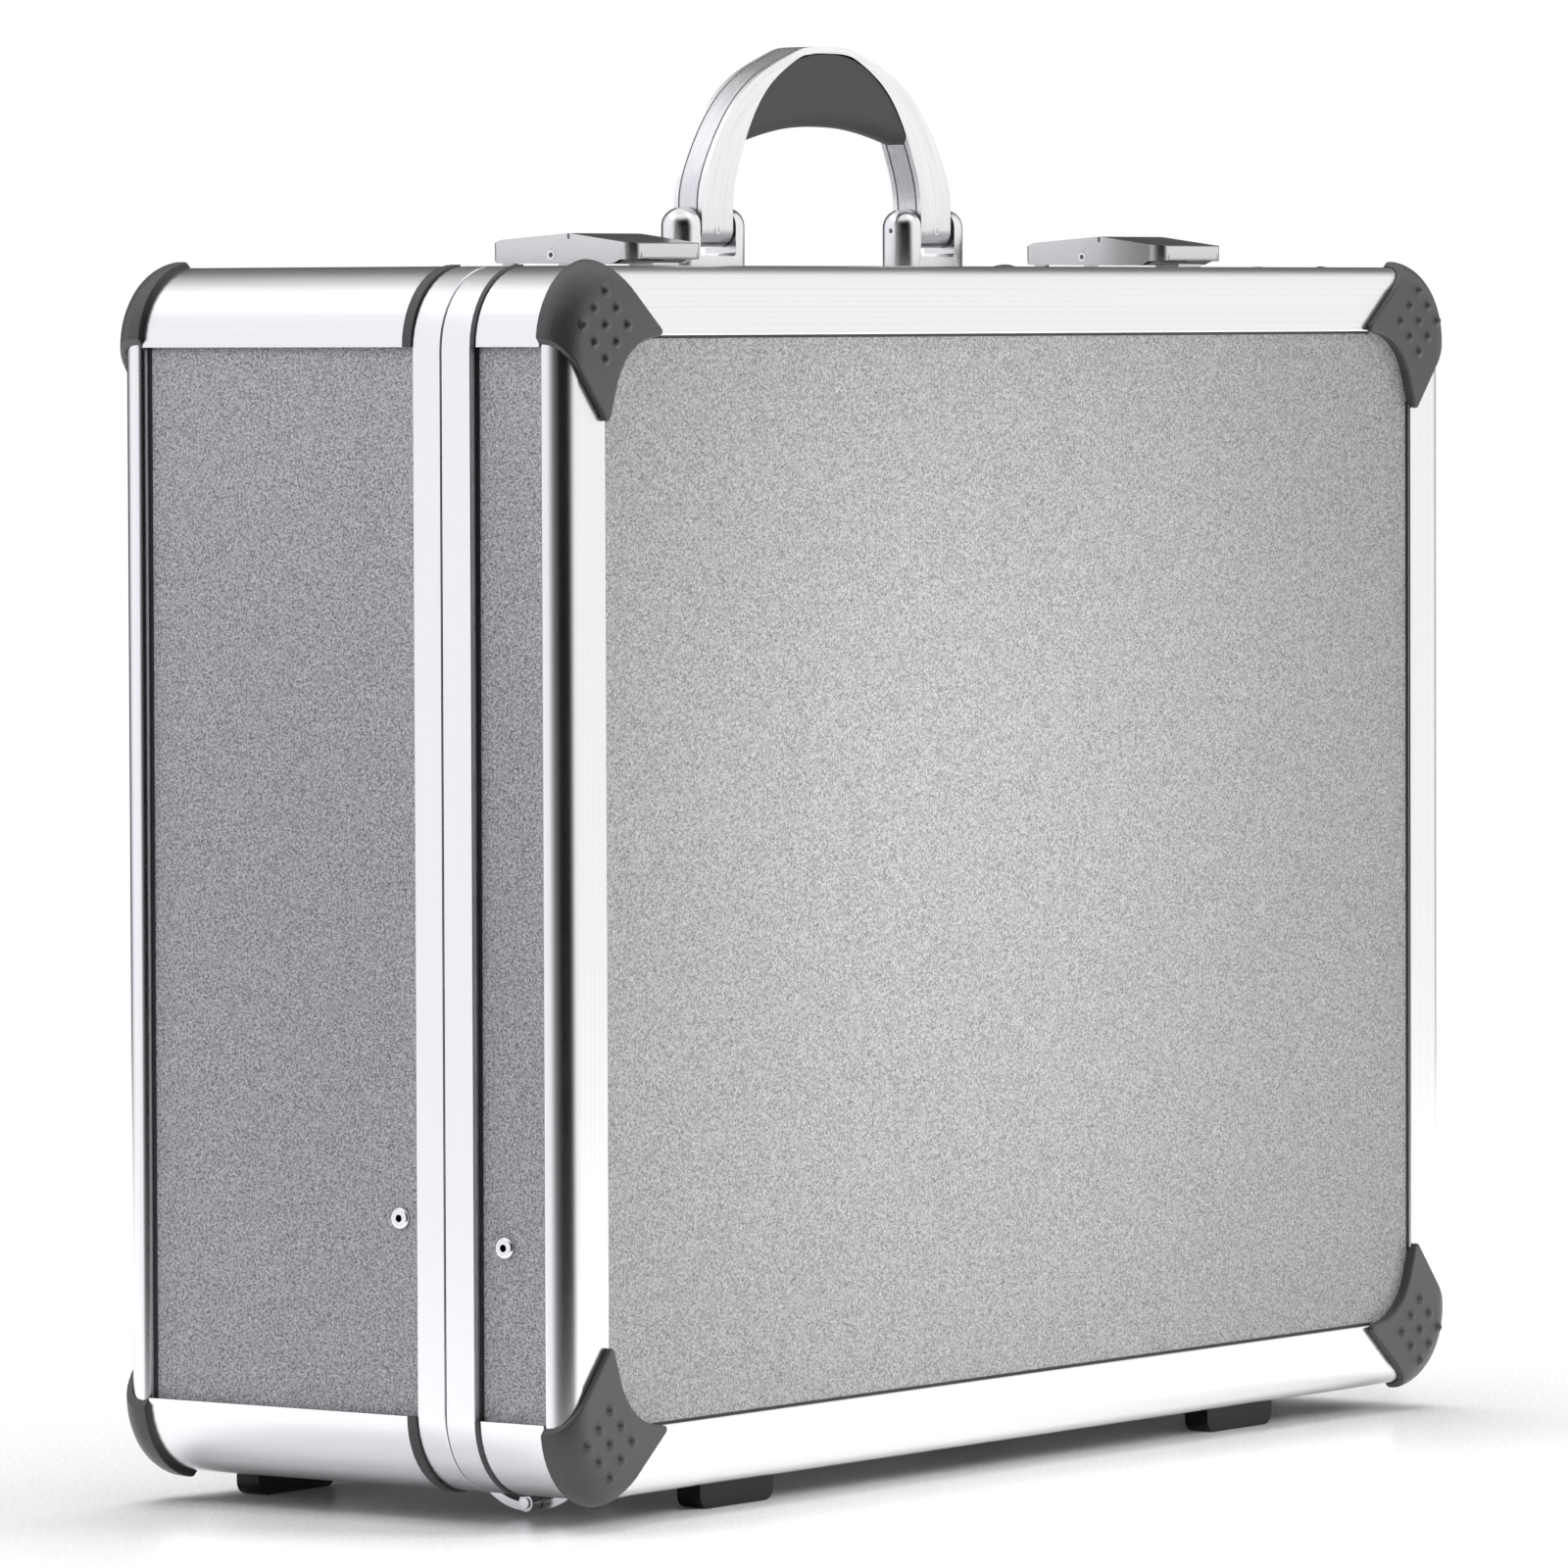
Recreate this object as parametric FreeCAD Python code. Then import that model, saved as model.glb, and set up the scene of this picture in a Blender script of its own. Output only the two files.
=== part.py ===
import FreeCAD, Part
import math
import os

from FreeCAD import Vector as V

# Aluminium-framed carrying case for poker chips, standing upright on its hinge side.
# Millimetres. +Z up, X across the width, -Y is the lid (front) and +Y the body (back).
# The origin is on the floor, under the middle of the case.

# ---------------------------------------------------------------- driving dimensions
WIDTH = 460.0            # outside of the frame, left to right
HEIGHT = 351.0           # outside of the frame, hinge side to handle side
DEPTH = 162.0            # outside of the frame, lid face to back face
FOOT_H = 8.3             # feet below the frame
PART_Y = -37.5           # parting plane between lid and body
BAND_LID = 10.6          # width of the lid's closure band
BAND_BODY = 10.2         # width of the body's closure band
GAP = 0.3                # running gap between lid and body bands
BAND_T = 8.0             # band thickness, outside to inside
TONGUE_D = 3.0           # body band's tongue, how far it enters the lid band
TONGUE_T = 2.6
CORNER_R = 23.0          # outer radius of the rounded long edges
RING_T = 8.0             # wall of the rounded corner profiles
RECESS = 3.2             # the narrow walls' panels lie this far behind the frame's outer plane
FRONT_RECESS = 1.2       # and the two big panels
PANEL_T = 4.0            # laminate panel thickness
LIP = 20.0               # width of the front and back edge profiles on the big faces
LIP_FRONT = 8.5          # their width on the narrow sides, lid
LIP_BACK = 9.5           # and body
EDGE_R = 7.0             # rounding of the front and back edges
COLLAR_BODY = 3.5        # dark end collars of the rounded profiles
COLLAR_LID = 1.8
COLLAR_PROUD = 0.5
GUARD_PROUD = 2.0        # corner guards stand proud of the frame
GUARD_RUN = 20.5         # straight edge profiles stop this far from the corner

LATCH_X = 136.2          # centre of each latch from the middle
LATCH_W = 35.0
LATCH_PIVOT = (-1.2, 4.0)    # lever axis: Y, and height above the frame's top
CATCH_PIVOT = (-19.1, 3.4)   # catch rivet: Y, and height above the frame's top

HANDLE_Y = -2.4          # middle of the handle, front to back
HANDLE_PIN_Z = 11.3      # handle axis above the frame's top
BRACKET_X0, BRACKET_X1 = 39.7, 73.8
SLOT_X0, SLOT_X1 = 47.8, 65.6
BRACKET_D = 11.3
BRACKET_TOP = 17.9

HINGE_X = (-192.7, -142.7)   # left hinge, outer and inner end
HINGE_DZ = -4.4          # hinge axis below the frame's bottom plane
HINGE_PIN_R = 1.5
BOW_R = 19.4             # middle radius of the hinge bows
BOW_T = 2.4

STAY_BODY = (-19.3, 79.3)    # stay rivet in the body: Y, height above the frame's bottom
STAY_LID = (-56.8, 72.5)     # stay rivet in the lid
RIVET_HEAD_R = 3.25

CHIP_R = 20.5            # trough radius for 39 to 40 mm chips
RACK_ROWS = 7
RACK_Y0, RACK_Y1 = -14.0, 14.0

# ---------------------------------------------------------------- derived positions
XL, XR = -WIDTH / 2, WIDTH / 2
YF, YB = -DEPTH / 2, DEPTH / 2
ZB, ZT = FOOT_H, FOOT_H + HEIGHT
Y_LIDBAND = PART_Y - BAND_LID
Y_BODYBAND = PART_Y + BAND_BODY
HINGE_Y, HINGE_Z = PART_Y, ZB + HINGE_DZ

os.makedirs("parts", exist_ok=True)
NODES = {}


def emit(name, *shapes):
    solids = []
    for s in shapes:
        solids += s.Solids
    NODES[name] = solids
    out = solids[0] if len(solids) == 1 else Part.makeCompound(solids)
    out.exportStep("parts/" + name + ".step")
    print(name, len(solids), "solid(s)", round(sum(s.Volume for s in solids) / 1000.0, 2), "cm3",
          "valid" if all(s.isValid() for s in solids) else "INVALID")


def box(x0, x1, y0, y1, z0, z1):
    return Part.makeBox(x1 - x0, y1 - y0, z1 - z0, V(x0, y0, z0))


def cyl_x(x0, x1, y, z, r):
    return Part.makeCylinder(r, x1 - x0, V(x0, y, z), V(1, 0, 0))


def cyl_y(y0, y1, x, z, r):
    return Part.makeCylinder(r, y1 - y0, V(x, y0, z), V(0, 1, 0))


def cyl_z(z0, z1, x, y, r):
    return Part.makeCylinder(r, z1 - z0, V(x, y, z0), V(0, 0, 1))


def wire2d(pts, to3d):
    """Closed wire through (u, v) or (u, v, radius) corners, with the corners rounded."""
    n = len(pts)
    segs = []
    for i in range(n):
        p = pts[i]
        r = p[2] if len(p) > 2 else 0.0
        a = V(p[0], p[1], 0)
        if r <= 0:
            segs.append((a, a, None))
            continue
        b, c = V(*pts[i - 1][:2], 0), V(*pts[(i + 1) % n][:2], 0)
        d1, d2 = (b - a).normalize(), (c - a).normalize()
        half = d1.getAngle(d2) / 2
        t = r / math.tan(half)
        s, e = a + d1 * t, a + d2 * t
        mid = (d1 + d2).normalize()
        centre = a + mid * (r / math.sin(half))
        segs.append((s, e, centre - mid * r))
    edges = []
    for i in range(n):
        s, e, m = segs[i]
        if m is not None:
            edges.append(Part.Arc(to3d(s), to3d(m), to3d(e)).toShape())
        nxt = segs[(i + 1) % n][0]
        if (nxt - e).Length > 1e-6:
            edges.append(Part.LineSegment(to3d(e), to3d(nxt)).toShape())
    return Part.Wire(edges)


def prism_x(pts, x0, x1):
    w = wire2d(pts, lambda p: V(x0, p.x, p.y))
    return Part.Face(w).extrude(V(x1 - x0, 0, 0))


def prism_y(pts, y0, y1):
    w = wire2d(pts, lambda p: V(p.x, y0, p.y))
    return Part.Face(w).extrude(V(0, y1 - y0, 0))


def prism_z(pts, z0, z1):
    w = wire2d(pts, lambda p: V(p.x, p.y, z0))
    return Part.Face(w).extrude(V(0, 0, z1 - z0))


def rect_y(inset, r, y0, y1):
    """Rounded rectangle of the frame's outline, inset, as a prism along Y."""
    x0, x1, z0, z1 = XL + inset, XR - inset, ZB + inset, ZT - inset
    return prism_y([(x0, z0, r), (x1, z0, r), (x1, z1, r), (x0, z1, r)], y0, y1)


def mx(s):
    return s.mirror(V(0, 0, 0), V(1, 0, 0))


def mz(s):
    return s.mirror(V(0, 0, (ZB + ZT) / 2), V(0, 0, 1))


def my(s):
    return s.mirror(V(0, 0, 0), V(0, 1, 0))


def cut(a, *bs):
    for b in bs:
        a = a.cut(b)
    return a


# ---------------------------------------------------------------- laminate panels
IN = RECESS + PANEL_T
FR_IN = FRONT_RECESS + PANEL_T
P_SIDE = 19.0            # panel edges start this far from the corner planes
y_lid = (YF + 4.3, Y_LIDBAND + 4.0)
y_body = (Y_BODYBAND - 4.0, YB - 4.3)


def wall_panels(y0, y1):
    left = box(XL + RECESS, XL + IN, y0, y1, ZB + P_SIDE, ZT - P_SIDE)
    top = box(XL + P_SIDE, XR - P_SIDE, y0, y1, ZT - IN, ZT - RECESS)
    return {"left": left, "right": mx(left), "top": top, "bottom": mz(top)}


lid_walls = wall_panels(*y_lid)
body_walls = wall_panels(*y_body)
F_IN = 9.1               # the big panels' edges inside the frame
front_panel = prism_y([(XL + F_IN, ZB + F_IN, 14), (XR - F_IN, ZB + F_IN, 14),
                       (XR - F_IN, ZT - F_IN, 14), (XL + F_IN, ZT - F_IN, 14)], YF + FRONT_RECESS, YF + FR_IN)
back_panel = my(front_panel)

# holes for the stay rivets
RIVET_R = 1.6
hb = (STAY_BODY[0], ZB + STAY_BODY[1])
hl = (STAY_LID[0], ZB + STAY_LID[1])
for side in ("left", "right"):
    body_walls[side] = body_walls[side].cut(cyl_x(-240, 240, hb[0], hb[1], RIVET_R))
    lid_walls[side] = lid_walls[side].cut(cyl_x(-240, 240, hl[0], hl[1], RIVET_R))


# ---------------------------------------------------------------- straight edge profiles
def edge_section(lip_side):
    """Section of an edge profile: u inwards from the narrow side, v inwards from the big face."""
    return [(0, 0, EDGE_R), (LIP, 0, 0.6), (LIP, 1.1), (8.9, 1.1), (8.9, 11, 0.5), (7.3, 11, 0.5),
            (7.3, 4.1), (3.1, 4.1), (3.1, lip_side), (0, lip_side, lip_side - EDGE_R - 0.1)]


def edges_for(lip_side, front=True):
    s = edge_section(lip_side)
    zc = (ZB + ZT) / 2
    pts_v = [(XL + p[0], YF + p[1]) + tuple(p[2:]) for p in s]
    left = prism_z(pts_v, ZB + GUARD_RUN, ZT - GUARD_RUN)
    pts_h = [(YF + p[1], ZT - p[0]) + tuple(p[2:]) for p in s]
    top = prism_x(pts_h, XL + GUARD_RUN, XR - GUARD_RUN)
    out = {"left": left, "right": mx(left), "top": top, "bottom": mz(top)}
    return out if front else {k: my(v) for k, v in out.items()}


front_edges = edges_for(LIP_FRONT)
back_edges = edges_for(LIP_BACK, front=False)


# ---------------------------------------------------------------- rounded corner profiles and collars
def ring_section(proud=0.0):
    """Quarter ring at the bottom left, as a wire in XZ."""
    c = V(XL + CORNER_R, 0, ZB + CORNER_R)
    ro, ri = CORNER_R + proud, CORNER_R - RING_T
    return c, ro, ri


def corner_ring(y0, y1, proud=0.0, inner=0.0):
    c, ro, ri = ring_section(proud)
    ri += inner
    k = math.sqrt(0.5)
    a, b = V(c.x, y0, c.z - ro), V(c.x - ro, y0, c.z)
    m = V(c.x - ro * k, y0, c.z - ro * k)
    d, e = V(c.x - ri, y0, c.z), V(c.x, y0, c.z - ri)
    n = V(c.x - ri * k, y0, c.z - ri * k)
    w = Part.Wire([Part.Arc(a, m, b).toShape(), Part.LineSegment(b, d).toShape(),
                   Part.Arc(d, n, e).toShape(), Part.LineSegment(e, a).toShape()])
    return Part.Face(w).extrude(V(0, y1 - y0, 0))


def four(s):
    return [s, mx(s), mz(s), mx(mz(s))]


def ring_cut(s, walls):
    for w in walls.values():
        s = s.cut(w)
    return s


lid_profile = corner_ring(YF + LIP_FRONT, Y_LIDBAND - COLLAR_LID)
body_profile = corner_ring(Y_BODYBAND + COLLAR_BODY, YB - LIP_BACK)
lid_profile = cut(ring_cut(lid_profile, lid_walls), front_edges["left"], front_edges["bottom"])
body_profile = cut(ring_cut(body_profile, body_walls), back_edges["left"], back_edges["bottom"])
lid_collar = ring_cut(corner_ring(Y_LIDBAND - COLLAR_LID, Y_LIDBAND, COLLAR_PROUD), lid_walls)
body_collar = ring_cut(corner_ring(Y_BODYBAND, Y_BODYBAND + COLLAR_BODY, COLLAR_PROUD), body_walls)

# ---------------------------------------------------------------- closure bands
R_BAND = 24.0
lid_band = rect_y(0, R_BAND, Y_LIDBAND, PART_Y - GAP / 2).cut(rect_y(BAND_T, R_BAND - BAND_T, Y_LIDBAND - 1, PART_Y + 1))
rebate = rect_y(BAND_T - TONGUE_T - 0.5, R_BAND - BAND_T + TONGUE_T + 0.5, PART_Y - TONGUE_D - 2.2, PART_Y + 1)
lid_band = lid_band.cut(rebate)
body_band = rect_y(0, R_BAND, PART_Y + GAP / 2, Y_BODYBAND).cut(rect_y(BAND_T, R_BAND - BAND_T, PART_Y - 1, Y_BODYBAND + 1))
tongue = rect_y(BAND_T - TONGUE_T, R_BAND - BAND_T + TONGUE_T, PART_Y - TONGUE_D, PART_Y + GAP / 2 + 0.5).cut(
    rect_y(BAND_T, R_BAND - BAND_T, PART_Y - 10, PART_Y + 5))
body_band = body_band.fuse(tongue).removeSplitter()
for w in lid_walls.values():
    lid_band = lid_band.cut(w)
for w in body_walls.values():
    body_band = body_band.cut(w)
seal = rect_y(BAND_T - TONGUE_T, R_BAND - BAND_T + TONGUE_T, PART_Y - TONGUE_D - 2.1, PART_Y - TONGUE_D - 0.6).cut(
    rect_y(BAND_T - 0.2, R_BAND - BAND_T + 0.2, PART_Y - 20, PART_Y + 5))


# ---------------------------------------------------------------- corner guards
def guard(front_edges_, walls, panel, profile, depth):
    """Guard of the lid's top left corner, in the frame's own coordinates."""
    g = GUARD_PROUD
    outer = prism_y([(XL - g, ZB - g, CORNER_R + g), (XR + g, ZB - g, CORNER_R + g),
                     (XR + g, ZT + g, CORNER_R + g), (XL - g, ZT + g, CORNER_R + g)], YF - g, YF + depth)
    front = [e for e in outer.Edges
             if abs(e.BoundBox.YMin - (YF - g)) < 1e-3 and abs(e.BoundBox.YMax - (YF - g)) < 1e-3]
    outer = outer.makeFillet(EDGE_R + g, front)
    x, z = XL, ZT
    kite = prism_y([(x - 3, z + 3), (x + 19, z + 3), (x + 46.5, z - 19.6, 1.2), (x + 27.3, z - 22.6, 20.0),
                    (x + 19.2, z - 45.3, 1.2), (x - 3, z - 19)], YF - 4, YF + 12)
    s = outer.common(kite)
    hollow = rect_y(8.9, 12, YF + FR_IN, YF + 20)
    s = s.cut(hollow)
    for e in front_edges_.values():
        s = s.cut(e)
    for e in walls.values():
        s = s.cut(e)
    s = s.cut(panel)
    for p in four(profile):
        s = s.cut(p)
    if len(s.Solids) > 1:
        s = sorted(s.Solids, key=lambda q: -q.Volume)[0]
    # nine small domes in a diamond
    cx, cz = x + 17.6, z - 16.8
    for i, j in [(0, 0), (1, 1), (1, -1), (-1, 1), (-1, -1), (2, 0), (-2, 0), (0, 2), (0, -2)]:
        bx, bz = cx + 5.2 * i, cz + 4.8 * j
        ball = Part.makeSphere(1.65, V(bx, YF - g + 0.4, bz))
        s = s.fuse(ball.common(box(bx - 3, bx + 3, YF - g - 2, YF - g + 0.4, bz - 3, bz + 3)))
    return s


lid_guard = guard(front_edges, lid_walls, front_panel, lid_profile, LIP_FRONT)
body_guard = my(guard(edges_for(LIP_BACK), {k: my(v) for k, v in body_walls.items()}, my(back_panel), my(body_profile),
                      LIP_BACK))

# ---------------------------------------------------------------- feet
FOOT_W, FOOT_D = 36.0, 8.4


def foot(xc, yc):
    z_up = ZB + RECESS
    s = prism_y([(xc - FOOT_W / 2, 0, 4.0), (xc + FOOT_W / 2, 0, 4.0), (xc + FOOT_W / 2, z_up), (xc - FOOT_W / 2, z_up)],
                yc - FOOT_D / 2, yc + FOOT_D / 2)
    return s


front_foot = foot(XL + 98.2, YF + 16.9)
rear_foot = foot(XL + 55.5, YF + 146.0)


# ---------------------------------------------------------------- hinges
def hinge_arm(x0, x1, side):
    """Curved arm from the pin to its mounting plate; side is +1 towards the body, -1 towards the lid."""
    cy, cz = HINGE_Y, ZB + 14.0
    ring = cyl_x(x0, x1, cy, cz, BOW_R + BOW_T / 2).cut(cyl_x(x0 - 1, x1 + 1, cy, cz, BOW_R - BOW_T / 2))
    ya, yb = (cy, cy + 30) if side > 0 else (cy - 30, cy)
    ring = ring.common(box(x0, x1, ya, yb, 0, ZB - 0.4))
    barrel = cyl_x(x0, x1, HINGE_Y, HINGE_Z, 2.5)
    return ring.fuse(barrel)


def hinge_leaf(side, xa, xb, arm_xs):
    ya = (HINGE_Y + BAND_BODY + 0.1, HINGE_Y + 16.0) if side > 0 else (HINGE_Y - 16.0, HINGE_Y - BAND_LID - 0.1)
    plate = box(xa, xb, ya[0], ya[1], ZB - 1.2, ZB + RECESS)
    s = plate
    for x0, x1 in arm_xs:
        s = s.fuse(hinge_arm(x0, x1, side))
    s = s.cut(cyl_x(xa - 5, xb + 5, HINGE_Y, HINGE_Z, HINGE_PIN_R + (0.05 if side < 0 else 0.0)))
    return s.removeSplitter()


hx0, hx1 = HINGE_X
body_leaf = hinge_leaf(+1, hx0, hx1, [(hx0, hx0 + 4.5), (hx1 - 4.5, hx1)])
lid_leaf = hinge_leaf(-1, hx0 + 4.8, hx1 - 4.8, [(hx0 + 4.8, hx0 + 9.3), (hx1 - 9.3, hx1 - 4.8)])
hinge_pin = cyl_x(hx0 - 0.6, hx1 + 0.6, HINGE_Y, HINGE_Z, HINGE_PIN_R)


# ---------------------------------------------------------------- latches (left one)
def at_latch(pts):
    return [(p[0], ZT + p[1]) + tuple(p[2:]) for p in pts]


LX0, LX1 = -LATCH_X - LATCH_W / 2, -LATCH_X + LATCH_W / 2
lever_outline = at_latch([
    (-48.9, 2.0, 0.7), (-48.9, 6.9, 1.2), (-46.0, 6.9, 8.0), (-25.5, 9.7, 1.0),
    (-0.9, 7.9, 3.4), (2.9, 6.6, 1.6), (2.9, 3.2, 1.0), (1.4, 1.1, 1.2), (-32.0, 0.7, 6), (-41.5, 0.9, 3), (-44.2, 2.0, 1.5)])
lever = prism_x(lever_outline, LX0, LX1)
PLAN_R = 4.5
plan = prism_z([(LX0, -48.9, PLAN_R), (LX1, -48.9, PLAN_R), (LX1, 2.9, 3.0), (LX0, 2.9, 3.0)], ZT - 1, ZT + 15)
lever = lever.common(plan)
CHEEK = 2.4
pocket = prism_x(at_latch([(-44.0, -3), (-44.0, 4.7), (-25.5, 7.7), (0.4, 5.9), (0.4, -3)]), LX0 + CHEEK, LX1 - CHEEK)
lever = lever.cut(pocket)
PIV = (LATCH_PIVOT[0], ZT + LATCH_PIVOT[1])
CPV = (CATCH_PIVOT[0], ZT + CATCH_PIVOT[1])
# slots for the base's ears, and blind holes for the pivot pin
EAR_T, EAR_R = 2.4, 2.0
EARS = (LX0 + CHEEK + 0.4, LX1 - CHEEK - 0.4 - EAR_T)
for x0 in EARS:
    lever = lever.cut(box(x0 - 0.4, x0 + EAR_T + 0.4, PIV[0] - 3.4, PIV[0] + 12, ZT - 3, PIV[1]))
    lever = lever.cut(box(x0 - 0.4, x0 + EAR_T + 0.4, PIV[0] - 3.4, PIV[0] + 12, PIV[1] - 1, PIV[1] + EAR_R + 0.3))
lever = lever.cut(cyl_x(LX0 + 1.2, LX1 - 1.2, PIV[0], PIV[1], 1.06))
lever = lever.cut(cyl_x(LX0 - 1, LX1 + 1, CPV[0], CPV[1], 1.45))
for sx in (LX0, LX1):   # crease notch in each edge
    lever = lever.cut(box(sx - 1.2, sx + 1.2, -25.9, -25.0, ZT + 8.0, ZT + 12))
catch_pin = cyl_x(LX0 - 0.1, LX1 + 0.1, CPV[0], CPV[1], 1.4).cut(cyl_x(LX0 - 1, LX0 + 3, CPV[0], CPV[1], 0.75)).cut(
    cyl_x(LX1 - 3, LX1 + 1, CPV[0], CPV[1], 0.75))
# catch: a flat claw on its rivet, reaching forward over the keeper
catch = prism_x(at_latch([(-21.5, 1.5, 1), (-21.5, 5.6, 1), (-16.6, 5.6, 1), (-16.6, 1.5, 1)]), -LATCH_X - 6.5, -LATCH_X + 6.5)
catch = catch.fuse(prism_x(at_latch([(-20.5, 2.3), (-20.5, 4.2), (-42.8, 4.2, 0.5), (-42.8, 1.7, 0.4), (-40.8, 1.7, 0.4), (-40.8, 2.3)]),
                           -LATCH_X - 6.5, -LATCH_X + 6.5)).removeSplitter()
catch = catch.cut(cyl_x(LX0, LX1, CPV[0], CPV[1], 1.45))
# base plate with two ears
base = box(LX0 + 3.2, LX1 - 3.2, -26.0, 3.5, ZT - RECESS, ZT - 1.6)
for x0 in EARS:
    ear = prism_x([(PIV[0] - EAR_R, ZT - 2.0), (PIV[0] + EAR_R, ZT - 2.0), (PIV[0] + EAR_R, PIV[1]), (PIV[0] - EAR_R, PIV[1])],
                  x0, x0 + EAR_T)
    ear = ear.fuse(cyl_x(x0, x0 + EAR_T, PIV[0], PIV[1], EAR_R))
    base = base.fuse(ear)
base = base.cut(cyl_x(LX0, LX1, PIV[0], PIV[1], 1.0)).removeSplitter()
lever_pin = cyl_x(LX0 + 1.4, LX1 - 1.4, PIV[0], PIV[1], 1.0)
# keeper on the lid's closure band
keeper = prism_x(at_latch([(-47.6, 0), (-47.6, 1.3, 0.5), (-39.0, 1.3, 0.5), (-39.0, 0)]), -LATCH_X - 6.2, -LATCH_X + 6.2)

# ---------------------------------------------------------------- handle
PZ = ZT + HANDLE_PIN_Z
top_plate = body_walls["top"]


def bracket():
    """Right-hand clevis: stadium plan, domed ears, slot for the handle's leg."""
    r = BRACKET_D / 2
    zb, zc = ZT - RECESS, ZT + BRACKET_TOP - r
    xa, xb = BRACKET_X0 + r, BRACKET_X1 - r
    s = box(xa, xb, HANDLE_Y - r, HANDLE_Y + r, zb, zc).fuse(cyl_x(xa, xb, HANDLE_Y, zc, r))
    for x in (xa, xb):
        s = s.fuse(cyl_z(zb, zc, x, HANDLE_Y, r)).fuse(Part.makeSphere(r, V(x, HANDLE_Y, zc)))
    s = s.removeSplitter()
    slot = prism_y([(SLOT_X0, ZT + 3.4, 1.2), (SLOT_X1, ZT + 3.4, 1.2), (SLOT_X1, ZT + 30), (SLOT_X0, ZT + 30)],
                   HANDLE_Y - 20, HANDLE_Y + 20)
    s = s.cut(slot)
    s = s.cut(cyl_x(BRACKET_X0 - 1, BRACKET_X1 - 2.5, HANDLE_Y, PZ, 1.6))
    for x in (BRACKET_X0 + 9.0, BRACKET_X1 - 9.0):
        s = s.cut(cyl_z(zb - 1, ZT + 1.5, x, HANDLE_Y, 1.6))
    return s


bracket_r = bracket()
handle_pin = cyl_x(BRACKET_X0 + 0.15, BRACKET_X1 - 2.5, HANDLE_Y, PZ, 1.6).cut(
    cyl_x(BRACKET_X0 - 1, BRACKET_X0 + 1.6, HANDLE_Y, PZ, 0.75))

LEG_IN, LEG_OUT = 48.6, 64.2
HY = 5.2                 # half depth of the handle, front to back
PLATE_T = 1.5
LUG_R = 5.2


def mirror_pts(pts):
    return [(-x, z) for x, z in reversed(pts)]


def arch_face(outer, inner, leg_out, leg_in, z_leg, y):
    """Arch between an outer and an inner curve, both given for x >= 0 from leg to crown."""
    def p(q):
        return V(q[0], y, ZT + q[1])
    up, across = V(0, 0, 1), V(-1, 0, 0)
    bo, bi = Part.BSplineCurve(), Part.BSplineCurve()
    bo.interpolate(Points=[p(q) for q in outer], InitialTangent=up, FinalTangent=across)
    bi.interpolate(Points=[p(q) for q in inner], InitialTangent=up, FinalTangent=across)
    right = [bo.toShape(), bi.toShape(), Part.LineSegment(p(outer[0]), p((leg_out, z_leg))).toShape(),
             Part.LineSegment(p(inner[0]), p((leg_in, z_leg))).toShape(),
             Part.LineSegment(p((leg_out, z_leg)), p((leg_in, z_leg))).toShape()]
    left = [mx(e) for e in right]
    w = Part.Wire(Part.__sortEdges__(right + left))
    return Part.Face(w)


OUTER = [(64.2, 18.0), (60.0, 32.0), (49.0, 47.2), (33.3, 58.4), (17.0, 64.6), (0.0, 66.6)]
INNER = [(48.6, 17.5), (45.0, 32.0), (38.6, 44.3), (29.2, 54.9), (16.5, 62.2), (0.0, 64.6)]


def inset(pts, d_out, centre=(0.0, 10.0)):
    out = []
    for x, z in pts:
        dx, dz = x - centre[0], z - centre[1]
        n = math.hypot(dx, dz)
        out.append((x + dx / n * d_out, z + dz / n * d_out))
    out[-1] = (0.0, out[-1][1])
    return out


def arch(y0, y1, grow_out=0.0, grow_in=0.0, z_leg=6.0):
    outer = inset(OUTER, grow_out)
    inner = inset(INNER, grow_in)
    outer[0] = (LEG_OUT + grow_out, 18.0)
    inner[0] = (LEG_IN + grow_in, 17.5)
    f = arch_face(outer, inner, LEG_OUT + grow_out, LEG_IN + grow_in, z_leg, y0)
    return f.extrude(V(0, y1 - y0, 0))


def lug_trim(s):
    """Rounds the leg ends about the pivot and drills them."""
    keep = box(-90, 90, HANDLE_Y - 30, HANDLE_Y + 30, PZ, ZT + 100).fuse(
        cyl_x(-90, 90, HANDLE_Y, PZ, LUG_R))
    s = s.common(keep)
    return s.cut(cyl_x(-90, 90, HANDLE_Y, PZ, 1.66))


core = arch(HANDLE_Y - 3.1, HANDLE_Y + 3.1, 0.0, 0.0)
core = core.fuse(arch(HANDLE_Y - (HY - PLATE_T), HANDLE_Y + (HY - PLATE_T), -0.9, 0.9)).removeSplitter()
front_plate = arch(HANDLE_Y - HY, HANDLE_Y - HY + PLATE_T)
rear_plate = arch(HANDLE_Y + HY - PLATE_T, HANDLE_Y + HY)
core, front_plate, rear_plate = lug_trim(core), lug_trim(front_plate), lug_trim(rear_plate)

# soft grip filling the crown of the arch from inside
g_in = [(44.0, 33.5), (38.0, 45.2), (28.9, 54.7), (16.3, 61.9), (0.0, 64.3)]
g_low = [(38.8, 37.6), (30.0, 39.6), (15.0, 41.9), (0.0, 42.5)]


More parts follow.
